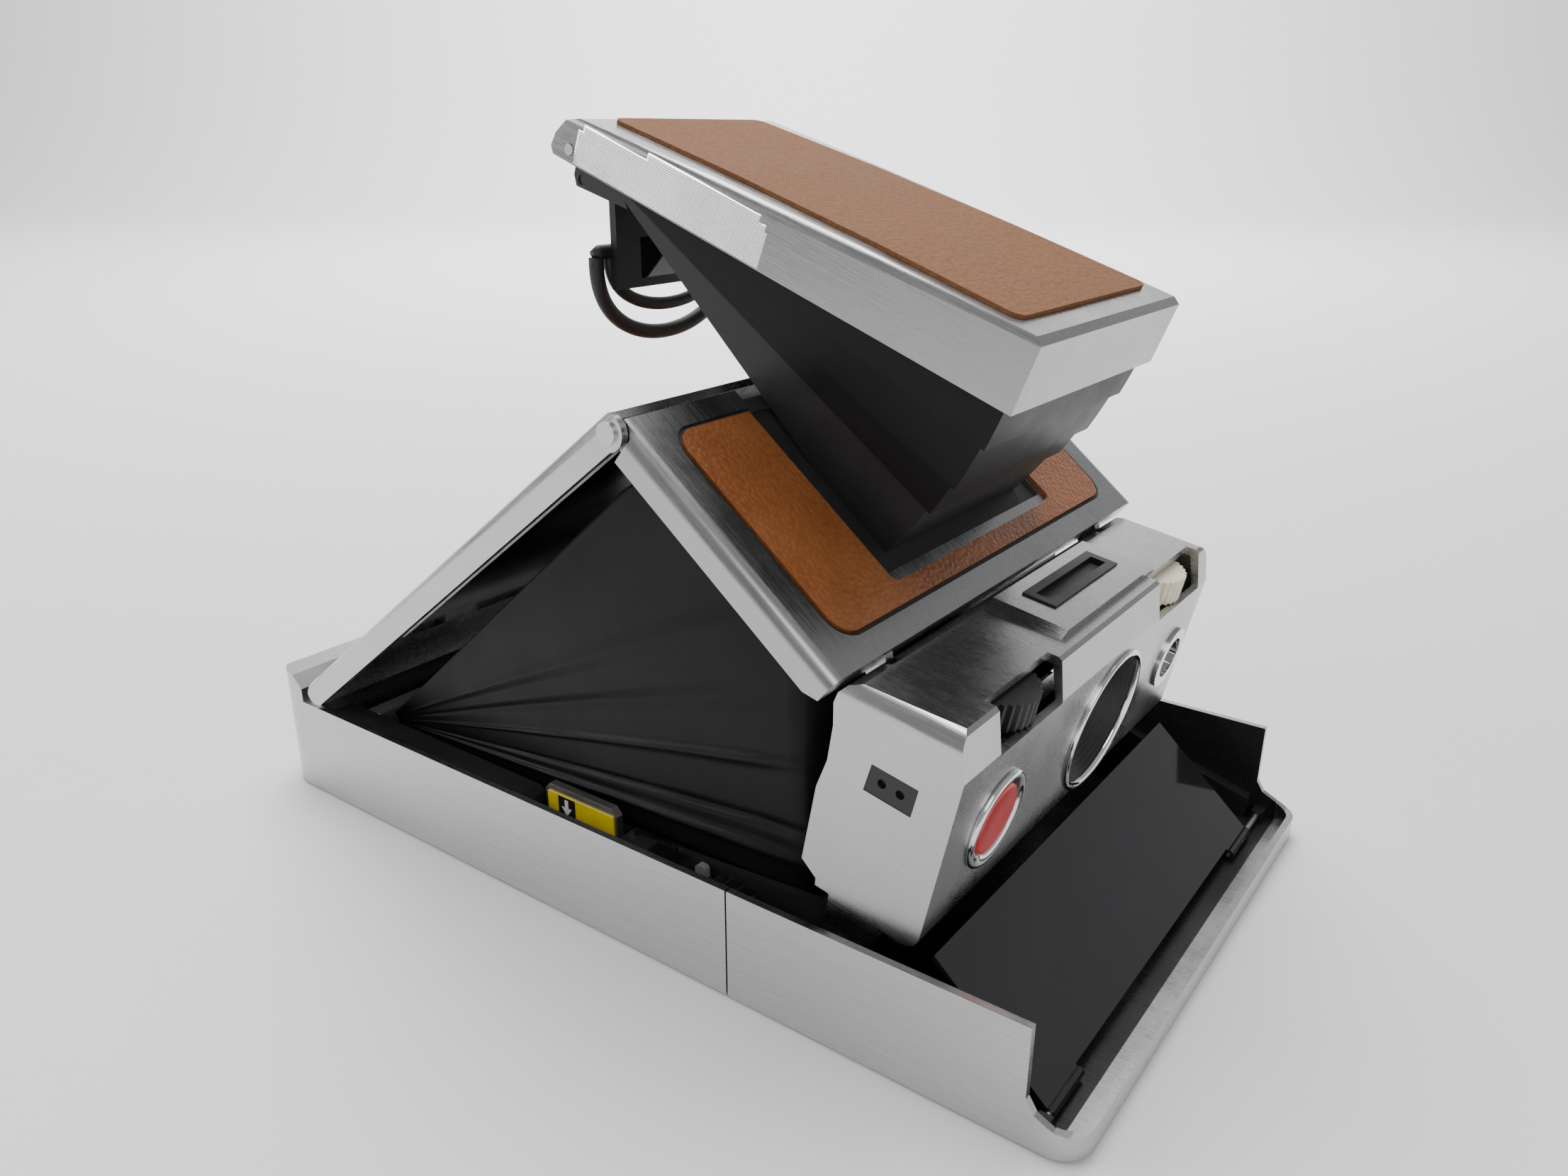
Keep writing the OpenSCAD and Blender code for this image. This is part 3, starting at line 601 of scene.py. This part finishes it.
class CAMERA_OT_bellows(bpy.types.Operator):
    """Add the rubber bellows, creased from its rear corner"""

    bl_idname = "camera_build.bellows"
    bl_label = "Bellows"

    def execute(self, context):
        depth = context.scene.camera_shape.crease_depth / MM
        rays, rings = 120, 28
        ox, oz = BELLOWS_CORNER
        end_x, end_z = BELLOWS_EDGE[-1]
        top = math.atan2(end_z - oz, end_x - ox)
        low = math.atan2(0.6, 100.0)
        verts, faces = [], []
        for side in (-1, 1):
            for i in range(rays + 1):
                angle = low + (top - low) * i / rays
                reach = bellows_outline(angle * 0.9999 + 1e-5) or 95.0
                for j in range(rings + 1):
                    share = 0.03 + 0.97 * j / rings
                    edge = min(1.0, i / 3, (rays - i) / 3)
                    bulge = depth * crease(math.degrees(angle), share, side) * edge
                    x = ox + reach * share * math.cos(angle)
                    z = oz + reach * share * math.sin(angle)
                    verts.append((x, side * (BELLOWS_HALF + bulge), z))
        step, block = rings + 1, (rays + 1) * (rings + 1)
        for s in (0, 1):
            for i in range(rays):
                for j in range(rings):
                    a = s * block + i * step + j
                    faces.append([a, a + 1, a + step + 1, a + step])
        for i in range(rays):
            for j in (0, rings):
                a = i * step + j
                faces.append([a, a + step, block + a + step, block + a])
        for j in range(rings):
            for i in (0, rays):
                a = i * step + j
                faces.append([a, a + 1, block + a + 1, block + a])
        obj = solid("bellows_skin", verts, faces, MAT["rubber"], smooth=True)
        ride(obj, "base")
        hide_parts("bellows")
        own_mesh(obj)
        return {"FINISHED"}


class CAMERA_OT_groove_shade_strips(bpy.types.Operator):
    """Add near-black strips round the leather panels: painted shade in the grooves"""

    bl_idname = "camera_build.leather_trim"
    bl_label = "Leather Grooves"

    def execute(self, context):
        g = context.scene.camera_shape.groove / MM
        for name, frame, u0, u1, half, body in (
            ("front_groove_shade", FRONT, 4, 43.7, 45.2, "front_cover"),
            ("rear_groove_shade", REAR, 5, REAR_LEN - 5, 48, "rear_cover"),
        ):
            rims = []
            for d in (0.02, g - 0.02):
                low, high, side = u0 + d, u1 - d, half - d
                corners = [(low, -half + d), (high, -half + d), (high, side), (low, side)]
                rims.append(rounded(corners, [GROOVE_CORNER - d] * 4))
            top = GROOVE_LOW + GROOVE_RISE
            strip = frame_strip(name, *rims, GROOVE_LOW, top, MAT["leather_edge"], frame)
            ride(strip, body)
        return {"FINISHED"}


def rib_group(material, count, pitch):
    """Geometry nodes that repeat one rib across a grip."""
    tree = bpy.data.node_groups.new("Ribs", "GeometryNodeTree")
    tree.interface.new_socket("Geometry", in_out="INPUT", socket_type="NodeSocketGeometry")
    tree.interface.new_socket("Geometry", in_out="OUTPUT", socket_type="NodeSocketGeometry")
    nodes, links = tree.nodes, tree.links
    source, out = nodes.new("NodeGroupInput"), nodes.new("NodeGroupOutput")
    line = nodes.new("GeometryNodeMeshLine")
    line.inputs["Count"].default_value = count
    line.inputs["Offset"].default_value = pitch
    put = nodes.new("GeometryNodeInstanceOnPoints")
    real = nodes.new("GeometryNodeRealizeInstances")
    paint = nodes.new("GeometryNodeSetMaterial")
    paint.inputs["Material"].default_value = material
    links.new(line.outputs["Mesh"], put.inputs["Points"])
    links.new(source.outputs["Geometry"], put.inputs["Instance"])
    links.new(put.outputs["Instances"], real.inputs["Geometry"])
    links.new(real.outputs["Geometry"], paint.inputs["Geometry"])
    links.new(paint.outputs["Geometry"], out.inputs["Geometry"])
    return tree


def settle(obj):
    """Turns an object with live nodes into one with a plain mesh of its own."""
    graph = bpy.context.evaluated_depsgraph_get()
    mesh = bpy.data.meshes.new_from_object(obj.evaluated_get(graph))
    plain_obj = bpy.data.objects.new(obj.name + "_mesh", mesh)
    bpy.context.scene.collection.objects.link(plain_obj)
    name = obj.name
    bpy.data.objects.remove(obj)
    plain_obj.name = name
    return plain_obj


def repeated(name, unit, material, count, pitch, matrix=None):
    """A row of copies of a unit mesh, count of them, pitch apart (a vector in millimetres)."""
    turn = (matrix or Matrix.Identity(4)).to_3x3()
    mod = unit.modifiers.new("Row", "NODES")
    mod.node_group = rib_group(material, count, turn @ (Vector(pitch) * MM))
    unit.name = name
    return settle(unit)


class CAMERA_OT_grips(bpy.types.Operator):
    """Add the ribbed grips on the sides of the viewfinder cap"""

    bl_idname = "camera_build.grips"
    bl_label = "Grip Ribs"

    def execute(self, context):
        shape = context.scene.camera_shape
        pitch = shape.rib_pitch / MM
        for side, label in ((-1, "near"), (1, "far")):
            done = 0
            for k, (u0, u1, count) in enumerate(
                ((1.2, 40.9, 16), (2.2, 40.4, 3), (16.0, 39.0, 3))
            ):
                low = GRIP_LOW + pitch * done
                done += count
                wedge = [
                    (side * GRIP_HALF, low),
                    (side * GRIP_CREST, low + pitch * 0.3),
                    (side * GRIP_HALF, low + pitch),
                ]
                verts = [(u, y, w) for u in (u0, u1) for y, w in wedge]
                faces = [[0, 1, 2], [3, 5, 4], [0, 3, 4, 1], [1, 4, 5, 2], [2, 5, 3, 0]]
                unit = solid("rib", verts, faces, MAT["metal_fine"], matrix=CAP)
                name = f"grip_{label}_{k}"
                row = repeated(name, unit, MAT["metal_fine"], count, (0, 0, pitch), CAP)
                ride(row, "viewfinder_cap")
        return {"FINISHED"}


def eyecup_arch(x, bulge, half, drop):
    """An arch of the eyecup: half its width, how far it drops and how far it bulges rearward."""
    path = []
    for i in range(49):
        a = math.pi * i / 48
        y = EYECUP_Y - half * math.cos(a)
        path.append((x - bulge * math.sin(a), y, EYECUP_TOP - drop * math.sin(a) ** 0.8))
    return path


class CAMERA_OT_eyecup(bpy.types.Operator):
    """Add the soft eyecup below the eyepiece"""

    bl_idname = "camera_build.eyecup"
    bl_label = "Eyecup"

    def execute(self, context):
        outer = tube("eyecup_rim", eyecup_arch(-24.0, 0.9, 18.4, 14.6), 1.35, 1.3, MAT["soft"])
        inner = tube("eyecup_inner", eyecup_arch(-23.8, 0.0, 15.4, 9.4), 1.15, 1.0, MAT["soft"])
        ends = [(-17.8, 106.8), (-17.0, 107.4), (19.0, 107.4), (19.8, 106.8)]
        bar = tube("eyecup_bar", [(-23.8, y, z) for y, z in ends], 1.2, 1.1, MAT["soft"])
        for obj in (outer, inner, bar):
            ride(obj, "eyepiece")
        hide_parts("eyecup")
        return {"FINISHED"}


class CAMERA_OT_lens(bpy.types.Operator):
    """Add the lens: bright rim, stepped black barrel and coated glass"""

    bl_idname = "camera_build.lens"
    bl_label = "Lens"

    def execute(self, context):
        at = on_face(LENS_Y, LENS_OUT)
        rim = [
            (13.2, 0.0), (13.2, 0.35), (13.05, 0.6), (12.6, 0.72), (11.95, 0.5), (11.6, 0.1),
            (11.6, -1.6), (12.3, -1.6),
        ]
        ride(lathe("lens_rim", rim, MAT["chrome"], at), "lens_housing")
        inner = [(11.55, 0.0)]
        for i in range(7):
            r = 11.55 - 0.68 * i
            inner += [(r - 0.05, -0.5 - 0.62 * i), (r - 0.68, -0.5 - 0.62 * i)]
        inner += [(6.4, -5.4), (11.55, -5.4)]
        ride(lathe("lens_barrel", inner, MAT["black"], at), "lens_housing")
        glass_profile = [
            (0, -5.3), (6.6, -5.3), (6.9, -4.9), (6.6, -4.2), (5.6, -3.7), (4.2, -3.3),
            (2.4, -3.05), (0, -3.0),
        ]
        front = dome("lens_front", glass_profile, MAT["glass"], at)
        ride(front, "lens_housing")
        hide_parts("lens_glass", "lens_ring")
        return {"FINISHED"}


class CAMERA_OT_button(bpy.types.Operator):
    """Add the dished release button in its bright ring"""

    bl_idname = "camera_build.button"
    bl_label = "Release Button"

    def execute(self, context):
        at = on_face(BUTTON_Y, BUTTON_OUT)
        ring = [
            (8.0, 0.0), (7.95, 0.45), (7.6, 0.75), (7.2, 0.82), (6.5, 0.6), (5.95, 0.3),
            (5.95, -1.6), (7.0, -1.6), (7.0, 0.0),
        ]
        obj = lathe("button_rim", ring, MAT["chrome"], at)
        ride(obj, "lens_housing")
        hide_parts("button_ring")
        disc = [
            (0, -2.6), (6.8, -2.6), (6.8, -1.75), (5.8, -1.7), (5.8, 0.2), (5.55, 0.5),
            (5.0, 0.5), (3.5, 0.3), (1.8, 0.2), (0, 0.17),
        ]
        obj = dome("button_disc", disc, MAT["red"], at)
        ride(obj, "shutter_button")
        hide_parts("shutter_button")
        return {"FINISHED"}


class CAMERA_OT_marks(bpy.types.Operator):
    """Add the band and the arrow on the latch label"""

    bl_idname = "camera_build.marks"
    bl_label = "Latch Marks"

    def execute(self, context):
        y0, y1 = -47.26, -47.16
        band = [(-10.2, 15.8), (-6.2, 15.8), (-6.2, 19.8), (-10.2, 19.8)]
        ride(span("latch_band", band, y0, y1, MAT["black"]), "door_latch")
        arrow = [
            (-8.6, 19.4), (-8.6, 17.9), (-9.4, 17.9), (-8.2, 16.3), (-7.0, 17.9), (-7.8, 17.9),
            (-7.8, 19.4),
        ]
        ride(span("latch_arrow", arrow, y0 - 0.06, y1, MAT["white"]), "door_latch")
        return {"FINISHED"}


class CAMERA_OT_near_side(bpy.types.Operator):
    """Add the small pieces seen between the near wall and the bellows"""

    bl_idname = "camera_build.near_side"
    bl_label = "Near Side Fittings"

    def execute(self, context):
        pin = [(7.6, -46.6, 18.1), (14.6, -46.6, 18.1)]
        ride(tube("hinge_pin", pin, 0.42, 0.42, MAT["chrome"]), "base")
        for k, x in enumerate((6.2, 14.4)):
            corners = [(x, 15.0), (x + 1.6, 15.0), (x + 1.6, 19.0), (x, 19.0)]
            lug = rounded(corners, [0, 0, 0.7, 0.7], 4)
            ride(span(f"pin_lug_{k}", lug, -47.2, -45.9, MAT["gloss"]), "base")
        corners = [(20.6, 14.6), (22.6, 14.6), (22.6, 18.0), (20.6, 18.0)]
        clip = rounded(corners, [0, 0, 0.6, 0.6], 4)
        ride(span("side_clip", clip, -47.3, -46.0, MAT["grey"]), "base")
        return {"FINISHED"}


class CAMERA_OT_stage(bpy.types.Operator):
    """Add the floor, the soft lights and the camera"""

    bl_idname = "camera_build.stage"
    bl_label = "Studio"

    def execute(self, context):
        look = context.scene.stage_look
        floor_mat = plain("Floor", tuple(look.floor_colour), 0.7, vary=0.006)
        profile = [(-2.2, FLOOR_LEVEL), (SWEEP_START, FLOOR_LEVEL)]
        for k in range(1, SWEEP_STEPS + 1):
            a = math.radians(90 * k / SWEEP_STEPS)
            rise = SWEEP_RADIUS - SWEEP_RADIUS * math.cos(a)
            profile.append((SWEEP_START + SWEEP_RADIUS * math.sin(a), rise))
        profile.append((2.4, 1.3))
        ahead, across = Vector(SWEEP_AHEAD), Vector(SWEEP_ACROSS)
        verts = [
            tuple((ahead * d + across * w + Vector((0, 0, h))) / MM)
            for d, h in profile
            for w in (-SWEEP_HALF, SWEEP_HALF)
        ]
        faces = [[2 * k, 2 * k + 1, 2 * k + 3, 2 * k + 2] for k in range(len(profile) - 1)]
        floor = solid("floor", verts, faces, floor_mat, smooth=True)
        for name, at, aim, size, power in (
            ("key", (-0.25, 0.25, 0.95), (0, 0, 0.05), 0.9, look.key_power),
            ("fill", (0.75, -0.55, 0.75), (0, 0, 0.05), 0.7, look.key_power * 0.3),
            ("rim", (-0.7, -0.5, 0.45), (0, 0, 0.05), 0.5, look.key_power * 0.2),
            ("sweep", (-0.6, 0.85, 1.3), (-1.4, 1.9, 0.3), 1.2, look.key_power * 5.0),
        ):
            data = bpy.data.lights.new(name, "AREA")
            data.shape = "DISK"
            data.size = size
            data.energy = power
            lamp = bpy.data.objects.new(name, data)
            context.scene.collection.objects.link(lamp)
            lamp.location = at
            towards = Vector(aim) - Vector(at)
            lamp.rotation_euler = towards.to_track_quat("-Z", "Y").to_euler()
        world = bpy.data.worlds.new("Studio")
        world.use_nodes = True
        back = world.node_tree.nodes["Background"]
        back.inputs["Color"].default_value = (0.86, 0.87, 0.89, 1)
        back.inputs["Strength"].default_value = 0.42
        context.scene.world = world
        data = bpy.data.cameras.new("view")
        data.sensor_width = 36
        data.lens = look.focal_length
        data.clip_start = 0.01
        cam = bpy.data.objects.new("view", data)
        context.scene.collection.objects.link(cam)
        turn = Matrix(VIEW_AXES).transposed().to_4x4()
        cam.matrix_world = Matrix.Translation(Vector(VIEW_AT) * MM) @ turn
        context.scene.camera = cam
        return {"FINISHED"}


class CAMERA_PT_build(bpy.types.Panel):
    """Buttons that build the camera"""

    bl_label = "Instant Camera"
    bl_idname = "CAMERA_PT_build"
    bl_space_type = "VIEW_3D"
    bl_region_type = "UI"
    bl_category = "Camera"

    def draw(self, context):
        column = self.layout.column()
        for group in (context.scene.camera_shape, context.scene.stage_look):
            for key in group.__annotations__:
                column.prop(group, key)
        for operator in OPERATORS:
            column.operator(operator.bl_idname)


OPERATORS = (
    CAMERA_OT_bellows,
    CAMERA_OT_groove_shade_strips,
    CAMERA_OT_grips,
    CAMERA_OT_eyecup,
    CAMERA_OT_lens,
    CAMERA_OT_button,
    CAMERA_OT_marks,
    CAMERA_OT_near_side,
    CAMERA_OT_stage,
)
CLASSES = (CameraShape, StageLook, *OPERATORS, CAMERA_PT_build)


def register():
    for cls in CLASSES:
        bpy.utils.register_class(cls)
    bpy.types.Scene.camera_shape = PointerProperty(type=CameraShape)
    bpy.types.Scene.stage_look = PointerProperty(type=StageLook)


def unregister():
    del bpy.types.Scene.stage_look
    del bpy.types.Scene.camera_shape
    for cls in reversed(CLASSES):
        bpy.utils.unregister_class(cls)


def main():
    """Builds the camera and its studio."""
    global FRAME
    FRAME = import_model()
    register()
    make_materials()
    finish_cad()
    bpy.ops.camera_build.bellows()
    bpy.ops.camera_build.leather_trim()
    bpy.ops.camera_build.grips()
    bpy.ops.camera_build.eyecup()
    bpy.ops.camera_build.lens()
    bpy.ops.camera_build.button()
    bpy.ops.camera_build.marks()
    bpy.ops.camera_build.near_side()
    bpy.ops.camera_build.stage()


if __name__ == "__main__":
    main()
